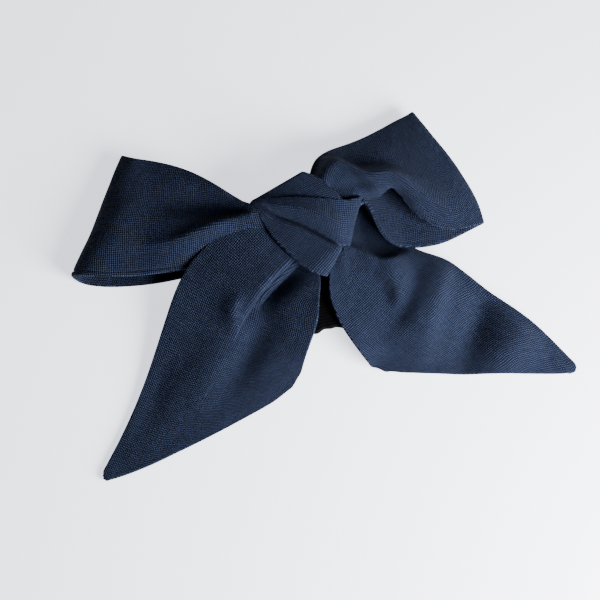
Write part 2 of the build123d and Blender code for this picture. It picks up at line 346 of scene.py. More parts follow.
def mesh_piece(name, points, faces, coords=None):
    """A smooth-shaded mesh object from points in knot millimetres, with places on the flat cloth as its UV."""
    mesh = bpy.data.meshes.new(name)
    mesh.from_pydata(metres(points).tolist(), [], [tuple(face) for face in faces])
    mesh.validate()
    if coords is not None:
        layer = mesh.uv_layers.new(name="flat")
        corners = np.zeros(len(mesh.loops), int)
        mesh.loops.foreach_get("vertex_index", corners)
        layer.data.foreach_set("uv", (coords[corners] / UV_UNIT).ravel())
    work = bmesh.new()
    work.from_mesh(mesh)
    bmesh.ops.recalc_face_normals(work, faces=work.faces)
    work.to_mesh(mesh)
    work.free()
    mesh.polygons.foreach_set("use_smooth", [True] * len(mesh.polygons))
    piece = bpy.data.objects.new(name, mesh)
    bpy.context.scene.collection.objects.link(piece)
    return piece


# ---------------------------------------------------------------- materials

class Nodes:
    """Short calls for building a node material."""

    def __init__(self, name):
        self.material = bpy.data.materials.new(name)
        self.material.use_nodes = True
        self.tree = self.material.node_tree
        self.shader = self.tree.nodes["Principled BSDF"]

    def add(self, kind, inputs=(), **settings):
        node = self.tree.nodes.new(kind)
        for key, value in settings.items():
            setattr(node, key, value)
        for key, value in dict(inputs).items():
            self.feed(node.inputs[key], value)
        return node

    def feed(self, socket, value):
        if isinstance(value, bpy.types.NodeSocket):
            self.tree.links.new(value, socket)
        else:
            socket.default_value = value

    def math(self, operation, a, b=0.0, c=0.0, clamp=False):
        node = self.add("ShaderNodeMath", {0: a, 1: b, 2: c}, operation=operation, use_clamp=clamp)
        return node.outputs[0]

    def mix(self, share, a, b):
        node = self.add("ShaderNodeMix", data_type="RGBA")
        self.feed(node.inputs[0], share)
        self.feed(node.inputs[6], a)
        self.feed(node.inputs[7], b)
        return node.outputs[2]

    def noise(self, vector, scale, detail=2.0, roughness=0.5):
        inputs = {"Vector": vector, "Scale": scale, "Detail": detail, "Roughness": roughness}
        return self.add("ShaderNodeTexNoise", inputs).outputs["Fac"]

    def range(self, value, low, high, to_low=0.0, to_high=1.0):
        node = self.add("ShaderNodeMapRange")
        for key, number in zip(range(5), (value, low, high, to_low, to_high)):
            self.feed(node.inputs[key], number)
        return node.outputs[0]

    def bump(self, height, distance, strength=1.0):
        node = self.add("ShaderNodeBump", {"Height": height, "Distance": distance, "Strength": strength})
        self.tree.links.new(node.outputs[0], self.shader.inputs["Normal"])

    def set(self, **values):
        for key, value in values.items():
            self.feed(self.shader.inputs[key.replace("_", " ")], value)


# The threads of the linen, and of the ribbon's ribs and warp, to a unit of the UV map.
LINEN_THREADS = UV_UNIT / 0.6
RIBBON_RIBS = 11
RIBBON_WARP = 42


def linen(name):
    """Navy plain-weave linen: raised crossings with painted shade in the gaps between them, uneven threads,
    slubs, painted glints of sheen on single threads, and a matt sheen.
    """
    n = Nodes(name)
    uv = n.add("ShaderNodeUVMap", uv_map="flat").outputs[0]
    # The threads wander a little.
    wobble = n.add("ShaderNodeTexNoise", {"Vector": uv, "Scale": 1.3, "Detail": 2.0}).outputs["Color"]
    shifted = n.add("ShaderNodeVectorMath", {0: wobble, 1: (0.5, 0.5, 0.5)}, operation="SUBTRACT").outputs[0]
    shifted = n.add("ShaderNodeVectorMath", {0: shifted, 3: 0.12}, operation="SCALE").outputs[0]
    placed = n.add("ShaderNodeVectorMath", {0: uv, 1: shifted}, operation="ADD").outputs[0]
    split = n.add("ShaderNodeSeparateXYZ", {0: placed})
    along, across = split.outputs[0], split.outputs[1]
    weft = n.math("SINE", n.math("MULTIPLY", along, pi * LINEN_THREADS))
    warp = n.math("SINE", n.math("MULTIPLY", across, pi * LINEN_THREADS))
    over = n.math("MULTIPLY", weft, warp)
    weft_round = n.math("POWER", n.math("ABSOLUTE", weft), 0.7)
    warp_round = n.math("POWER", n.math("ABSOLUTE", warp), 0.7)
    weft_up = n.math("MULTIPLY", weft_round, n.math("MULTIPLY_ADD", over, -0.45, 0.55))
    warp_up = n.math("MULTIPLY", warp_round, n.math("MULTIPLY_ADD", over, 0.45, 0.55))
    height = n.math("MAXIMUM", weft_up, warp_up)

    # Slubs: noise drawn out along the threads of each direction.
    stretched = n.add("ShaderNodeVectorMath", {0: uv, 1: (0.9, 14.0, 1.0)}, operation="MULTIPLY").outputs[0]
    crosswise = n.add("ShaderNodeVectorMath", {0: uv, 1: (14.0, 0.9, 1.0)}, operation="MULTIPLY").outputs[0]
    warp_tone = n.noise(stretched, 2.2, 3.0, 0.7)
    weft_tone = n.noise(crosswise, 2.2, 3.0, 0.7)
    tone = n.math("ADD", n.math("MULTIPLY", warp_tone, 0.5), n.math("MULTIPLY", weft_tone, 0.5))
    patch = n.noise(uv, 0.7, 3.0, 0.5)
    painted_glint = n.noise(uv, 26.0, 1.0, 0.4)

    dark, mid, light = (0.0008, 0.0014, 0.0032, 1), (0.0042, 0.007, 0.017, 1), (0.042, 0.06, 0.13, 1)
    sheen = (0.55, 0.66, 0.95, 1)
    thread = n.mix(n.range(tone, 0.32, 0.72), mid, light)
    # Painted shade: the gaps between the raised threads are painted dark, as the shade that falls in them.
    colour = n.mix(n.range(height, 0.42, 0.85), dark, thread)
    # Painted highlight: small pale flecks that stand in for the glints of sheen on single threads.
    colour = n.mix(n.range(painted_glint, 0.62, 0.76, 0.0, 0.5), colour, light)
    colour = n.mix(n.range(patch, 0.3, 0.7, 0.0, 0.22), colour, mid)
    raised = n.math("ADD", n.math("MULTIPLY", height, 1.0), n.math("MULTIPLY", tone, 0.9))
    n.bump(raised, 0.00038, 1.0)
    n.set(Base_Color=colour, Roughness=n.range(tone, 0.3, 0.7, 0.92, 0.74))
    n.set(Sheen_Weight=0.02, Sheen_Roughness=0.4, Sheen_Tint=sheen, Specular_IOR_Level=0.06)
    return n.material


linen_cloth = linen("navy_linen")


# ---------------------------------------------------------------- the strip's four free parts

# How high the swells are on the free parts, and on the turns that are pulled tight round the knot.
TAIL_AND_LOOP_SWELL = 0.22
KNOT_SWELL = 0.12


def cloth_piece(name, node, stations, folds, seed, seams, pleats=0.35, **shape):
    """A free part of the strip, reaching as far as its CAD solid. seams holds the depths of its seams."""
    grid = strip(stations, folds, **shape)
    grid = fit(grid, node)
    uv = strip_uv(grid)
    grid = wrinkle(grid, uv, seed, TAIL_AND_LOOP_SWELL, pleats)
    grid = keep_above(grid)
    piece = slab(name, grid, uv, CLOTH, SEAMED_EDGE, seam(uv, *seams))
    piece.data.materials.append(linen_cloth)
    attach(piece, "bow")
    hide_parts(node)
    return piece


# The crest's distance from the lip.
LIP_WIDTH = 0.9
# How high the crest stands, and how far the cloth goes back under the lip, as shares of the drop.
CREST_RISE = 0.06
LIP_TUCK = 0.12


def lipped(first, lip, last, drop):
    """A station with a fold that hangs over what comes after it: the cloth comes to a crest, rolls over to
    the lip, and falls by `drop`, a little back under the lip."""
    first, lip, last = Vector(first), Vector(lip), Vector(last)
    back = (first - lip).normalized()
    crest = lip + back * LIP_WIDTH + Vector((0, 0, CREST_RISE * drop))
    foot = lip + back * LIP_TUCK * drop - Vector((0, 0, drop))
    return first, crest, lip, foot, last


# From the knot to the slanted hem: the long edge, the gather's lip, the short edge, and the lip's drop.
LEFT_TAIL = [
    lipped((-11, 8, 10.5), (-2.5, -6, 10.8), (1, -11, 10), 1.2),
    lipped((-16, 7.5, 11.5), (-6.5, -9.3, 11.8), (1, -15.5, 10.4), 2.4),
    lipped((-26, 3, 11.5), (-11.5, -12.5, 12.8), (-0.5, -21, 10.8), 4.2),
    lipped((-36.5, -4.5, 9.8), (-18, -17.5, 12.4), (-2.5, -27.5, 11), 4.6),
    lipped((-45, -16, 5.5), (-24.5, -24, 7.6), (-6.5, -34.5, 9), 1.0),
    lipped((-55, -33, 2), (-34, -36, 4.1), (-9.5, -39.5, 6.5), 0),
    lipped((-66, -49, 1), (-43, -46, 2.5), (-11.5, -43, 4.5), 0),
    lipped((-74.5, -59.5, 0.8), (-49, -53, 1.9), (-13, -45.5, 3.5), 0),
]
LEFT_TAIL_FOLDS = [
    # The valley beside the gather, the dimple that ends it, and a small ridge round that.
    (0, 6, [(-1.5, -8), (-5.5, -10.8), (-11, -14.2), (-17.2, -19)], (-0.8, -2.0, -3.0, -1.6), (5, 0.8)),
    (1, 6, [(-22, -15.5), (-25.5, -19), (-26, -24), (-23, -27)], (0.2, 1.7, 1.8, 0.2), (2.2, 4), 0.2),
    # A long soft ridge from the dimple towards the point, with a hollow beside it.
    (2, 7, [(-28, -24), (-36, -34), (-46, -43)], (0.6, 1.6, 0.4), (8, 9)),
    (3, 7, [(-17, -25), (-24, -32), (-34, -43)], (-1.2, -2.0, -0.4), (6, 5)),
    (4, 7, [(-50, -33), (-58, -46)], (-0.8, -0.5), (5, 5)),
]
# Each line: the long edge and the short edge.
RIGHT_TAIL = [
    ((19.5, 8, 6.5), (8, -6, 9.5)),
    ((23.5, 2, 6.5), (4.5, -13.5, 10.2)),
    ((27, -5, 5.5), (3, -20.5, 10)),
    ((32.5, -12, 5), (4, -28.5, 9.2)),
    ((40, -17, 5), (7, -36, 7.5)),
    ((49.5, -27.5, 5), (10, -41.5, 4.5)),
    ((61, -40.5, 3.5), (11.5, -43.3, 3)),
    ((72.5, -58, 1.5), (14.5, -45.3, 2.5)),
]
RIGHT_TAIL_FOLDS = [
    # A hollow at the root with a ridge round it, then the dome below the ridge.
    (0, 5, [(15, 2), (17, -1), (21, -6), (28, -8.5)], (-3.0, -4.6, -4.2, -2.5), (6, 4.5)),
    (0, 5, [(9, -7), (14.5, -10), (18, -13), (22.5, -14.5), (28, -13)], (1.6, 3.0, 3.4, 3.0, 1.0),
     (2.2, 8), 0.2),
    (0, 6, [(18, -16), (22.5, -20), (23.5, -25), (21, -30)], (1.0, 3.4, 3.4, 0.8), (8, 3.4)),
    # The long fall across the middle, the line where it ends, and the rise beyond it.
    (1, 7, [(29, -20), (25, -27), (17, -34)], (-0.8, -1.8, -0.6), (4, 5)),
    (1, 7, [(39, -19), (33, -29), (27, -41)], (2.4, 4.0, 2.0), (5, 9)),
    (1, 7, [(51, -28), (45, -36.5), (38, -47)], (-1.8, -3.0, -1.6), (6, 7), 0.1),
    (2, 7, [(60, -40), (54, -46), (47, -53)], (1.6, 2.6, 1.2), (9, 8)),
    # Puckers beside the point.
    (4, 7, [(65, -53), (68, -58), (69, -61)], (0.6, 1.0, 0.5), (1.8, 1.2)),
    (4, 7, [(69, -54.5), (72, -59)], (0.7, 1.0), (1.4, 1.4)),
]
left_tail = cloth_piece(
    "left_tail_cloth", "left_tail", LEFT_TAIL, LEFT_TAIL_FOLDS, seed=3.1, seams=(0, 0, 0.08), pleats=0.1,
    end_bow=4.5, corners=(4.5, 6.0), edge_hold=0.5)
right_tail = cloth_piece(
    "right_tail_cloth", "right_tail", RIGHT_TAIL, RIGHT_TAIL_FOLDS, seed=8.4, seams=(0, 0, 0.3),
    end_bow=0.5, corners=(4.5, 6.0), edge_hold=0.4)

# Out from the knot as the upper panel, round the fold, and back to the knot as the lower panel.
# Each line: the back edge, the middle and the front edge.
LEFT_LOOP = [
    ((-12.5, 9.5, 14), (-12.5, 7, 13), (-11, -1, 10)),
    ((-17.5, 13, 13.5), (-18, 7.5, 13), (-21, -0.5, 8.5)),
    ((-25, 21, 11), (-26.5, 7, 12.5), (-30.5, -3, 7.5)),
    ((-34, 29, 8.5), (-39, 6, 11.5), (-45, -3.5, 8)),
    ((-43, 34, 7), (-52, 8, 10), (-59, -1.5, 7.5)),
    ((-50, 37.5, 5.5), (-64.5, 12, 6.8), (-72.5, 2, 6.3)),
    ((-51, 38.5, 4), (-65.5, 13, 4.5), (-73.5, 2.5, 4.3)),
    ((-50, 38, 2.2), (-64.5, 12.5, 2.2), (-72.5, 1.5, 2.2)),
    ((-43.5, 35.5, 1.5), (-53, 12, 1.5), (-59.5, -3, 1.2)),
    ((-34.5, 29.5, 2.5), (-39.5, 10, 2), (-45.5, -4.5, 1.5)),
    ((-25, 20.5, 5), (-28, 8, 4), (-32.5, -4, 3)),
    ((-18, 12.5, 8), (-19, 6, 7), (-20, -1.5, 5)),
    ((-12, 9.5, 10), (-12, 5, 9.5), (-10.5, -1, 9.6)),
]
LEFT_LOOP_FOLDS = [
    # The crease out of the knot, sharp on its upper side, and the hollow above it.
    (0, 5, [(-14, 7.5), (-22, 7), (-30, 6), (-41, 4.5), (-51, 6)], (1.5, 2.4, 2.4, 1.8, 0.2), (9, 3), 0.35),
    (0, 5, [(-14, 10), (-21, 12), (-30, 15), (-40, 18), (-50, 22)], (-2.0, -3.8, -3.6, -2.0, -0.5), (5, 6)),
    (0, 5, [(-15, 10), (-22, 17), (-27, 22)], (1.0, 1.0, 0.2), (2.5, 2.5)),
    (2, 6, [(-45, 24), (-55, 17), (-64, 13)], (0.4, 1.2, 0.2), (9, 6)),
]
# The same way round. Each line: the back edge, the foot of the roll behind it, the roll's crest, and the
# front edge.
RIGHT_LOOP = [
    ((4, 13.5, 12), (5.5, 12, 13), (7.5, 9, 15), (12.5, 2.5, 13)),
    ((5.5, 16.5, 12), (7, 15.5, 13), (9, 12.5, 15.6), (15, 3.5, 13.2)),
    ((9.5, 22, 10.5), (12, 21.5, 11.5), (14.5, 17.5, 16), (20.5, 5.5, 13)),
    ((21, 26, 6.6), (21, 17, 9.4), (21.5, 12.7, 15.6), (25.5, 6, 12.8)),
    ((30, 28.5, 5), (29.5, 16, 9), (29, 11.7, 14.8), (30, 7.5, 12.4)),
    ((37.5, 31, 4.6), (38, 11, 8), (35.5, 6, 12.2), (34.5, 0.5, 10)),
    ((41, 32, 4.6), (44, 6, 7.2), (42, -1, 9.2), (40.5, -6, 7.4)),
    ((42.5, 32.5, 4.8), (48, 6, 6.4), (48, -4, 6.8), (47.5, -8.5, 5.8)),
    ((43.5, 33, 4.2), (51, 12, 4.6), (54.5, 1, 4.6), (56.5, -8, 4.6)),
    ((43, 33, 2.5), (48, 12, 2.8), (50.5, 1, 3), (52, -9, 3.2)),
    ((39, 31.5, 1.5), (40, 15, 2), (41, 0, 3), (41.5, -11.5, 4)),
    ((31, 28.5, 1.5), (31.5, 15, 2.5), (32, 0, 3.5), (32, -11, 5)),
    ((21.5, 25, 3), (23.5, 14, 4.5), (25.5, 1, 5.5), (27, -9.5, 7)),
    ((15.5, 21.5, 6), (18, 13, 7), (21, 4, 8.5), (23, -4, 9.5)),
    ((12, 18, 8.5), (15, 13, 9), (18, 8, 10.5), (20.5, 4, 11.8)),
    ((9, 14, 9.8), (11.5, 10, 10), (14, 5, 10.8), (16, 1.5, 11.5)),
]
RIGHT_LOOP_FOLDS = [
    # The curled-under front edge, and a shallow pleat beside the crest.
    (0, 7, [(12, 3), (20, 5), (26, 5.5), (31, 6), (34.5, 0), (39, -5)], (-1.6, -2.0, -2.0, -2.0, -1.6, -0.6),
     (2, 3)),
    (0, 5, [(10, 9), (18, 10), (26, 9)], (-0.3, -0.7, -0.1), (2, 3)),
]
left_loop = cloth_piece(
    "left_loop_cloth", "left_loop", LEFT_LOOP, LEFT_LOOP_FOLDS, seed=12.7, seams=(0, 0.3, 0), rounding=60,
    end_bow=0.6, far=0.5)
right_loop = cloth_piece(
    "right_loop_cloth", "right_loop", RIGHT_LOOP, RIGHT_LOOP_FOLDS, seed=17.2, seams=(0, 0.1, 0), rounding=14,
    end_bow=1.5, far=0.5)

# ---------------------------------------------------------------- the knot

# The band over the knot, from where it comes up on the left to where it turns down on the right. Each line:
# its upper edge, middle and lower edge.
KNOT_BAND = [
    ((-14.5, 10.5, 10), (-14, 9.8, 10), (-13.5, 9, 10)),
    ((-14.3, 11, 13.5), (-13.8, 10.2, 13.6), (-13.3, 9.3, 13)),
    ((-12, 11, 15.7), (-10.8, 9, 16.4), (-9.5, 6.5, 15.4)),
    ((-7, 9.4, 17.5), (-5.5, 6.5, 18.2), (-4, 2.8, 16.2)),
    ((-1, 8, 18.3), (-0.2, 4, 19.3), (1, -1, 16.8)),
    ((4.5, 6.6, 18.2), (5, 1, 19.2), (6.3, -5.8, 16.2)),
    ((9.5, 5.4, 17.6), (9, -1.5, 18.2), (9, -8.3, 15.4)),
    ((15, 4.5, 16), (13, -2, 16), (11, -8.4, 14.2)),
    ((19, 5.6, 13.3), (15.3, -1.2, 13.2), (12.2, -8, 12.4)),
    ((17.5, 5, 10.5), (14, -1, 10.3), (11.2, -6.3, 10)),
]
# The turn that shows above the band: a flat corner of the strip. Each line: its left end and its right end.
KNOT_FLAP = [
    ((-13.5, 10.8, 15.6), (3, 15.9, 17.8)),
    ((-12, 9.5, 16.6), (8.2, 11.5, 18)),
    ((-10.5, 8, 16.8), (12, 6, 17.2)),
    ((-9, 6.5, 16.2), (14.5, 2, 15.6)),
]
# The turn that shows below the band: a crescent that comes out from under the band, dips beside its edge,
# and runs on to the lower left. Each line: under the band, the dip, its far side, and the outer edge.
KNOT_CRESCENT = [
    ((-14, 11, 10.4), (-13.8, 10.7, 10.4), (-13.5, 10.2, 10.4), (-13, 9.5, 10.4)),
    ((-12.2, 11, 12.6), (-12.8, 10, 11.8), (-12.9, 9.4, 12.4), (-13, 8, 12.6)),
    ((-7.2, 9.4, 14.2), (-9.3, 6.8, 12), (-10.4, 5.3, 13.2), (-11.8, 4, 12.8)),
    ((-1.6, 5.8, 15.8), (-3.8, 3.1, 12.2), (-5, 1.6, 13.6), (-10, -1, 13)),
    ((3.2, 1.8, 16.6), (1.2, -0.8, 12.4), (0.1, -2.1, 13.8), (-7, -6.2, 13)),
    ((8, -2.6, 16), (6.4, -5.6, 12.4), (5.3, -7, 13.8), (-3.2, -11.6, 13)),
    ((9.8, -5, 15), (9.1, -8, 12.2), (7.9, -9.5, 13.6), (0.5, -14.9, 12.8)),
    ((9.9, -6, 12.5), (9.2, -9, 11.2), (8.3, -10.1, 12.3), (3, -15.9, 11.6)),
    ((8.6, -7, 9.8), (8, -8.2, 9.9), (7.4, -9, 10), (2.8, -14.5, 9.8)),
]


def wrap_piece(name, stations, seed, nodes=(), rounding=6):
    """A turn of the strip round the knot, in the place of the given CAD solids."""
    grid = strip(stations, rounding=rounding)
    uv = strip_uv(grid)
    grid = wrinkle(grid, uv, seed, KNOT_SWELL, pleats=0.0)
    piece = slab(name, grid, uv, CLOTH, ROUND_EDGE)
    piece.data.materials.append(linen_cloth)
    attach(piece, "bow")
    for node in nodes:
        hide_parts(node)
    return piece


band = wrap_piece("knot_band_cloth", KNOT_BAND, seed=23.5, nodes=["knot_upper_wrap"], rounding=2)
flap = wrap_piece("knot_flap_cloth", KNOT_FLAP, seed=41.3)
crescent = wrap_piece("knot_crescent_cloth", KNOT_CRESCENT, seed=28.9, nodes=["knot_lower_wrap"], rounding=2)


def puck(name, centre, radii, half_height, turned, crumple, squareness):
    """A closed round body with a flat top and bottom, rounded sides, and an uneven outline."""
    rings, spokes, weld = 40, 120, 0.02
    height = np.linspace(-1, 1, rings)[:, None] * np.ones(spokes)
    turn = np.linspace(0, 2 * pi, spokes, endpoint=False)[None, :] * np.ones((rings, 1))
    height = np.sign(height) * (1 - (1 - np.abs(height)) ** squareness)
    rim = (1 - np.abs(height) ** squareness) ** (1 / squareness)
    uneven = 1 + crumple * (np.sin(5 * turn + 3 * height) + 0.7 * np.sin(9 * turn - 5 * height))
    out = np.stack([radii[0] * np.cos(turn), radii[1] * np.sin(turn)], axis=-1) * (rim * uneven)[..., None]
    lean = radians(turned)
    points = np.stack([
        centre[0] + out[..., 0] * cos(lean) - out[..., 1] * sin(lean),
        centre[1] + out[..., 0] * sin(lean) + out[..., 1] * cos(lean),
        centre[2] + half_height * height], axis=-1)
    index = np.arange(rings * spokes).reshape(rings, spokes)
    low, high = index[:-1], index[1:]
    faces = np.stack([low, np.roll(low, -1, 1), np.roll(high, -1, 1), high], -1).reshape(-1, 4).tolist()
    piece = mesh_piece(name, points.reshape(-1, 3), faces, out.reshape(-1, 2))
    work = bmesh.new()
    work.from_mesh(piece.data)
    bmesh.ops.remove_doubles(work, verts=work.verts, dist=weld * MM)
    bmesh.ops.recalc_face_normals(work, faces=work.faces)
    work.to_mesh(piece.data)
    work.free()
    return piece


# The rest of the strip inside the knot: a crumpled body that the wraps are pulled tight round.
core = puck(
    "knot_core_cloth", centre=(2.6, 4.4, 12.2), radii=(11, 3.6), half_height=3.2, turned=-28, crumple=0.03,
    squareness=3)
core.data.materials.append(linen_cloth)
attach(core, "bow")
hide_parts("knot_core")

# ---------------------------------------------------------------- ribbon, felt and stitches

def grosgrain(name):
    """Black-navy ribbon with ribs across it, fine warp threads, painted shade in the troughs between them, and
    worn patches.
    """
    n = Nodes(name)
    uv = n.add("ShaderNodeUVMap", uv_map="flat").outputs[0]
    split = n.add("ShaderNodeSeparateXYZ", {0: uv})
    rib = n.math("ABSOLUTE", n.math("SINE", n.math("MULTIPLY", split.outputs[0], pi * RIBBON_RIBS)))
    warp = n.math("ABSOLUTE", n.math("SINE", n.math("MULTIPLY", split.outputs[1], pi * RIBBON_WARP)))
    worn = n.noise(uv, 9.0, 4.0, 0.6)
    height = n.math("MULTIPLY_ADD", rib, 0.8, n.math("MULTIPLY", warp, 0.2))
    dark, mid, light = (0.0003, 0.0003, 0.0005, 1), (0.0014, 0.0014, 0.002, 1), (0.0028, 0.0028, 0.0036, 1)
    # Painted shade: the troughs between the ribs and the warp threads are painted darker.
    colour = n.mix(n.range(height, 0.2, 0.95), dark, mid)
    colour = n.mix(n.range(worn, 0.5, 0.75, 0.0, 0.5), colour, light)
    n.bump(height, 0.00012, 0.9)
    n.set(Base_Color=colour, Roughness=n.range(worn, 0.3, 0.7, 0.6, 0.8), Specular_IOR_Level=0.03)
    return n.material


def felt(name):
    """Pressed wool felt: matted fibres in every direction, with pale and dark ones among them."""
    n = Nodes(name)
    place = n.add("ShaderNodeTexCoord").outputs["Object"]
    warped = n.add("ShaderNodeTexNoise", {"Vector": place, "Scale": 900.0, "Detail": 3.0, "Distortion": 1.6})
    fibres = warped.outputs["Fac"]
    patches = n.noise(place, 160.0, 3.0, 0.6)
    pale = n.noise(place, 2600.0, 2.0, 0.7)
    dark, mid = (0.003, 0.004, 0.008, 1), (0.014, 0.02, 0.04, 1)
    light, dull = (0.05, 0.062, 0.09, 1), (0.006, 0.009, 0.018, 1)
    colour = n.mix(n.range(fibres, 0.35, 0.65), dark, mid)
    colour = n.mix(n.range(pale, 0.62, 0.75, 0.0, 0.6), colour, light)
    colour = n.mix(n.range(patches, 0.4, 0.7, 0.0, 0.3), colour, dull)
    n.bump(n.math("ADD", fibres, n.math("MULTIPLY", pale, 0.5)), 0.00035, 1.0)
    n.set(Base_Color=colour, Roughness=0.95, Sheen_Weight=0.3, Sheen_Roughness=0.5, Specular_IOR_Level=0.15)
    return n.material


def twisted_thread(name):
    """Navy sewing thread: fine hairs over a smooth ply."""
    n = Nodes(name)
    place = n.add("ShaderNodeTexCoord").outputs["Object"]
    fine = n.noise(place, 3500.0, 3.0, 0.6)
    colour = n.mix(n.range(fine, 0.35, 0.7), (0.008, 0.012, 0.026, 1), (0.045, 0.06, 0.11, 1))
    n.bump(fine, 0.00006, 0.8)
    n.set(Base_Color=colour, Roughness=n.range(fine, 0.3, 0.7, 0.7, 0.5))
    return n.material


def tube(name, paths, radius, sides):
    """Closed round tubes along paths, each a list of close points in knot millimetres."""
    points, faces = [], []
    for path in paths:
        path = np.asarray(path, float)
        heading = np.gradient(path, axis=0)
        heading /= np.linalg.norm(heading, axis=1, keepdims=True)
        # Any direction does to start from that no path runs along.
        across = np.cross(heading[0], (0.3, 0.5, 0.8))
        across /= np.linalg.norm(across)
        start = len(points)
        for place, way in zip(path, heading):
            across = across - way * across.dot(way)
            across /= np.linalg.norm(across)
            other = np.cross(way, across)
            for turn in np.linspace(0, 2 * pi, sides, endpoint=False):
                points.append(place + radius * (across * cos(turn) + other * sin(turn)))
        for ring in range(len(path) - 1):
            base = start + ring * sides
            for k in range(sides):
                after = (k + 1) % sides
                faces.append((base + k, base + after, base + sides + after, base + sides + k))
        faces.append(tuple(range(start, start + sides))[::-1])
        last = start + (len(path) - 1) * sides
        faces.append(tuple(range(last, last + sides)))
    return mesh_piece(name, np.array(points), faces)


RIBBON = 0.4
# How far the ribbon runs back under the arm from the nose, and how far it turns under the lever.
RIBBON_LINING = 23
RIBBON_HEM = 3
# The ribbon's grid.
RIBBON_STEP = 0.3
RIBBON_COLUMNS = 49
# How far the turn at the nose stands out, how far it lifts, and how far along the ribbon that reaches.
NOSE_FULLNESS = 0.55
NOSE_LIFT = 0.35
NOSE_REACH = 2.2
ribbon_low, ribbon_high = ((corner - KNOT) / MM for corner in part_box("clip_ribbon"))
felt_low, felt_high = ((corner - KNOT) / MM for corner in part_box("felt_pad"))


def ribbon_piece():
    """One length of ribbon: under the arm to its nose, back over its top, and round the lever's end. The
    turn at the nose stands a little ruffled."""
    top, bottom = ribbon_high.z - RIBBON / 2, ribbon_low.z + RIBBON / 2
    nose, lever = ribbon_low.y + RIBBON / 2, ribbon_high.y - RIBBON / 2
    middle, turn = (top + bottom) / 2, (top - bottom) / 2
    bends = np.linspace(-pi / 2, pi / 2, 9)
    path = [(nose + RIBBON_LINING, bottom), (nose + 2, bottom)]
    path += [(nose + turn - turn * cos(b), middle + turn * sin(b)) for b in bends]
    path += [(nose + 2, top), (lever - 2, top)]
    path += [(lever - turn + turn * cos(b), middle - turn * sin(b)) for b in bends]
    path += [(lever - RIBBON_HEM, bottom)]
    path = np.array(path)
    along = np.r_[0, np.cumsum(np.linalg.norm(np.diff(path, axis=0), axis=1))]
    at = np.linspace(0, along[-1], int(along[-1] / RIBBON_STEP))
    line = np.stack([np.interp(at, along, path[:, k]) for k in (0, 1)], axis=-1)
    across = np.linspace(ribbon_low.x, ribbon_high.x, RIBBON_COLUMNS)
    grid = np.zeros((len(at), len(across), 3))
    grid[..., 0] = across
    grid[..., 1:] = line[:, None, :]
    near_nose = np.exp(-(((grid[..., 1] - nose) / NOSE_REACH) ** 2))
    share = (across - ribbon_low.x) / (ribbon_high.x - ribbon_low.x)
    ruffle = 0.35 * np.sin(9.5 * share + 0.6) + 0.25 * np.sin(17 * share)
    grid[..., 1] -= near_nose * (NOSE_FULLNESS + ruffle)
    above = grid[..., 2] > middle
    grid[..., 2] += near_nose * np.where(above, NOSE_LIFT + ruffle / 2, 0)
    uv = np.stack(np.broadcast_arrays(at[:, None], across[None, :]), axis=-1)
    piece = slab("clip_ribbon_cloth", grid, uv, RIBBON, ROUND_EDGE)
    piece.data.materials.append(grosgrain("ribbon_black"))
    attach(piece, "bow")
    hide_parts("clip_ribbon")
    return piece


ribbon = ribbon_piece()

felt_middle = (felt_low + felt_high) / 2
felt_half = (felt_high - felt_low) / 2
# The felt's uneven outline stays inside its CAD solid.
FELT_TRIM = 0.2
felt_radii = felt_half.x - FELT_TRIM, felt_half.y - FELT_TRIM
pad = puck(
    "felt_pad_cloth", centre=felt_middle, radii=felt_radii, half_height=felt_half.z, turned=0, crumple=0.006,
    squareness=5)
pad.data.materials.append(felt("navy_felt"))
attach(pad, "bow")
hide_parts("felt_pad")


# Where the stitches are round the felt, in degrees, and how far inside its edge.
STITCH_BEARINGS = (-33, -11, 11, 33, 147, 169, 191, 213)
STITCH_INSET = 2.2
STITCH_LENGTH = 2.6
# How far a stitch sags between its ends, and how far its ends are sunk in the felt.
STITCH_HANG, STITCH_SUNK = 0.42, 0.25
# Each ply's distance from the thread's middle, its radius, and its twist along one stitch in radians.
PLY_OFFSET, PLY_RADIUS, PLY_TWIST = 0.13, 0.16, 14


def stitch_paths():
    """Tacking stitches in two-ply thread: each comes out of the felt's underside and goes back into it."""
    paths = []
    for bearing in STITCH_BEARINGS:
        for ply in (0, pi):
            path = []
            for share in np.linspace(0, 1, 41):
                reach = (share - 0.5) * STITCH_LENGTH
                dip = STITCH_HANG * sin(pi * share) ** 0.6 - STITCH_SUNK
                twist = ply + PLY_TWIST * share
                x = felt_middle.x + (felt_half.x - STITCH_INSET) * cos(radians(bearing)) + reach
                y = felt_middle.y + (felt_half.y - STITCH_INSET) * sin(radians(bearing))
                y += PLY_OFFSET * cos(twist)
                path.append((x, y, felt_low.z - dip + PLY_OFFSET * sin(twist)))
            paths.append(path)
    return paths


threads = tube("tack_threads", stitch_paths(), PLY_RADIUS, 8)
threads.data.materials.append(twisted_thread("navy_thread"))
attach(threads, "bow")
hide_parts("tack_stitches")

# ---------------------------------------------------------------- the clip

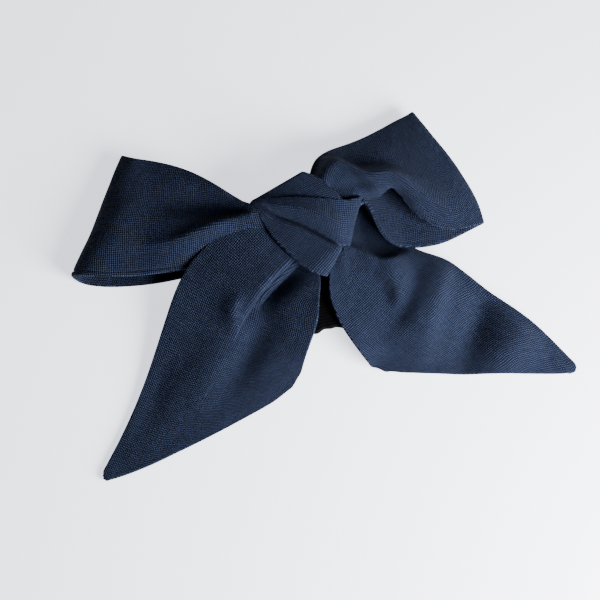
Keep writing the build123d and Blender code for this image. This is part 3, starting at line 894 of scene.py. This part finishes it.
def nickel(name, tint, roughness, lines):
    """Nickel-plated steel: fine lines left by rolling or drawing, clouded polish, and pale wear on its
    edges. lines says how close the lines are along each axis."""
    n = Nodes(name)
    place = n.add("ShaderNodeTexCoord").outputs["Object"]
    drawn = n.add("ShaderNodeVectorMath", {0: place, 1: lines}, operation="MULTIPLY").outputs[0]
    scratch = n.noise(drawn, 1.0, 4.0, 0.7)
    cloud = n.noise(place, 260.0, 4.0, 0.55)
    spots = n.noise(place, 1500.0, 2.0, 0.5)
    bevel = n.add("ShaderNodeBevel", samples=4)
    bevel.inputs["Radius"].default_value = 0.00025
    flat = n.add("ShaderNodeNewGeometry").outputs["Normal"]
    edge = n.add("ShaderNodeVectorMath", {0: bevel.outputs[0], 1: flat}, operation="DOT_PRODUCT")
    worn = n.range(edge.outputs["Value"], 0.985, 0.9)
    dull = tuple(0.55 * value for value in tint) + (1,)
    colour = n.mix(n.range(cloud, 0.35, 0.7, 0.0, 0.7), tint + (1,), dull)
    colour = n.mix(n.range(spots, 0.66, 0.75, 0.0, 0.5), colour, dull)
    colour = n.mix(n.math("MULTIPLY", worn, 0.6), colour, (0.92, 0.9, 0.86, 1))
    marks = n.math("ADD", cloud, n.math("MULTIPLY", scratch, 0.4))
    rough = n.range(marks, 0.4, 1.0, roughness, roughness + 0.22)
    n.bump(n.math("MULTIPLY_ADD", scratch, 0.7, n.math("MULTIPLY", cloud, 0.3)), 0.00003, 0.7)
    n.set(Base_Color=colour, Roughness=rough, Metallic=1.0)
    return n.material


sheet_steel = nickel("nickel_sheet", tint=(0.66, 0.64, 0.6), roughness=0.22, lines=(2600.0, 90.0, 2600.0))
pin_steel = nickel("nickel_pin", tint=(0.7, 0.68, 0.64), roughness=0.18, lines=(90.0, 2200.0, 2200.0))
wire_steel = nickel("spring_wire", tint=(0.5, 0.49, 0.48), roughness=0.25, lines=(500.0, 3000.0, 3000.0))
cad_looks = {"clip_upper_arm": sheet_steel, "clip_lower_arm": sheet_steel, "hinge_pin": pin_steel}
for node_name, look in cad_looks.items():
    node = frame["nodes"][node_name]
    node.data.materials.clear()
    node.data.materials.append(look)


# The spring's coil, whose turns are COIL_PITCH apart.
COIL_RADIUS, WIRE_RADIUS, COIL_PITCH = 1.3, 0.3, 0.7
WHOLE_TURNS = 4
# The slope of each leg, its length, and how far from the coil its first point is.
UPPER_SLOPE, LOWER_SLOPE = radians(1.4), radians(-12.0)
UPPER_LEG, LOWER_LEG, LEG_START = 8.0, 7.6, 0.15


def spring_path():
    """The close coil round the pin, with a leg behind it against each lever, and half the coil's length."""
    coil, pitch, upper, lower = COIL_RADIUS, COIL_PITCH, UPPER_SLOPE, LOWER_SLOPE
    turns = WHOLE_TURNS + (pi + lower - upper) / (2 * pi)
    hinge = (HINGE - KNOT) / MM
    half = turns * pitch / 2
    angles = np.linspace(0, 2 * pi * turns, 240)
    path = [(hinge.x - half, hinge.y + coil * -sin(upper) + reach * cos(upper),
             hinge.z + coil * cos(upper) + reach * sin(upper))
            for reach in np.linspace(UPPER_LEG, LEG_START, 24)]
    for angle in angles:
        # From the top, over towards the nose, and round.
        up, forward = cos(angle), -sin(angle)
        path.append((hinge.x - half + pitch * angle / (2 * pi),
                     hinge.y + coil * (forward * cos(upper) - up * sin(upper)),
                     hinge.z + coil * (forward * sin(upper) + up * cos(upper))))
    end, before = np.array(path[-1]), np.array(path[-2])
    way = end - before
    way[0] = 0
    way /= np.linalg.norm(way)
    path += [tuple(end + way * reach) for reach in np.linspace(LEG_START, LOWER_LEG, 24)]
    return path, half


spring_line, coil_half = spring_path()
spring = tube("spring_wire", [spring_line], WIRE_RADIUS, 14)
spring.data.materials.append(wire_steel)
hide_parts("torsion_spring")
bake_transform(spring)

# ---------------------------------------------------------------- floor, light and camera

# Half the floor's width, in metres, and the colour of the sky and of the floor's own light.
FLOOR = 3
SKY = (0.86, 0.9, 1.0, 1)
floor_corners = [(-FLOOR, -FLOOR, 0), (FLOOR, -FLOOR, 0), (FLOOR, FLOOR, 0), (-FLOOR, FLOOR, 0)]
floor_mesh = bpy.data.meshes.new("floor")
floor_mesh.from_pydata(floor_corners, [], [(0, 1, 2, 3)])
floor = bpy.data.objects.new("floor", floor_mesh)
bpy.context.scene.collection.objects.link(floor)
floor_look = Nodes("floor_white")
floor_look.set(Base_Color=(0.83, 0.86, 0.95, 1), Roughness=0.7, Emission_Color=SKY, Emission_Strength=1.6)
floor.data.materials.append(floor_look.material)

world = bpy.data.worlds.new("studio")
bpy.context.scene.world = world
world.use_nodes = True
world.node_tree.nodes["Background"].inputs[0].default_value = SKY
world.node_tree.nodes["Background"].inputs[1].default_value = 0.1


# One soft window low on the right, towards the viewer: its direction and distance from the knot, in metres.
WINDOW_WAY = Vector((0.82, -0.9, 0.6)).normalized()
WINDOW_DISTANCE = 0.33
window_data = bpy.data.lights.new("window", "AREA")
window_data.size = 0.2
window_data.energy = 6.6
window_data.color = (1.0, 0.99, 0.98)
window = bpy.data.objects.new("window", window_data)
bpy.context.scene.collection.objects.link(window)
window.location = KNOT + WINDOW_WAY * WINDOW_DISTANCE
window.rotation_mode = "QUATERNION"
window.rotation_quaternion = WINDOW_WAY.to_track_quat("Z", "Y")

# The camera's place, in millimetres from the knot, and the ways that are right and up in its picture.
CAMERA_PLACE = Vector((-37.3, -107.6, 366.2))
CAMERA_RIGHT = Vector((0.97449, -0.22229, 0.03110))
CAMERA_UP = Vector((0.20804, 0.94653, 0.24659))
camera_data = bpy.data.cameras.new("camera")
camera_data.lens = 72.0
camera_data.sensor_width = 36.0
camera = bpy.data.objects.new("camera", camera_data)
bpy.context.scene.collection.objects.link(camera)
bpy.context.scene.camera = camera
camera_turn = Matrix((CAMERA_RIGHT, CAMERA_UP, CAMERA_RIGHT.cross(CAMERA_UP))).transposed().to_4x4()
camera.matrix_world = Matrix.Translation(KNOT + CAMERA_PLACE * MM) @ camera_turn
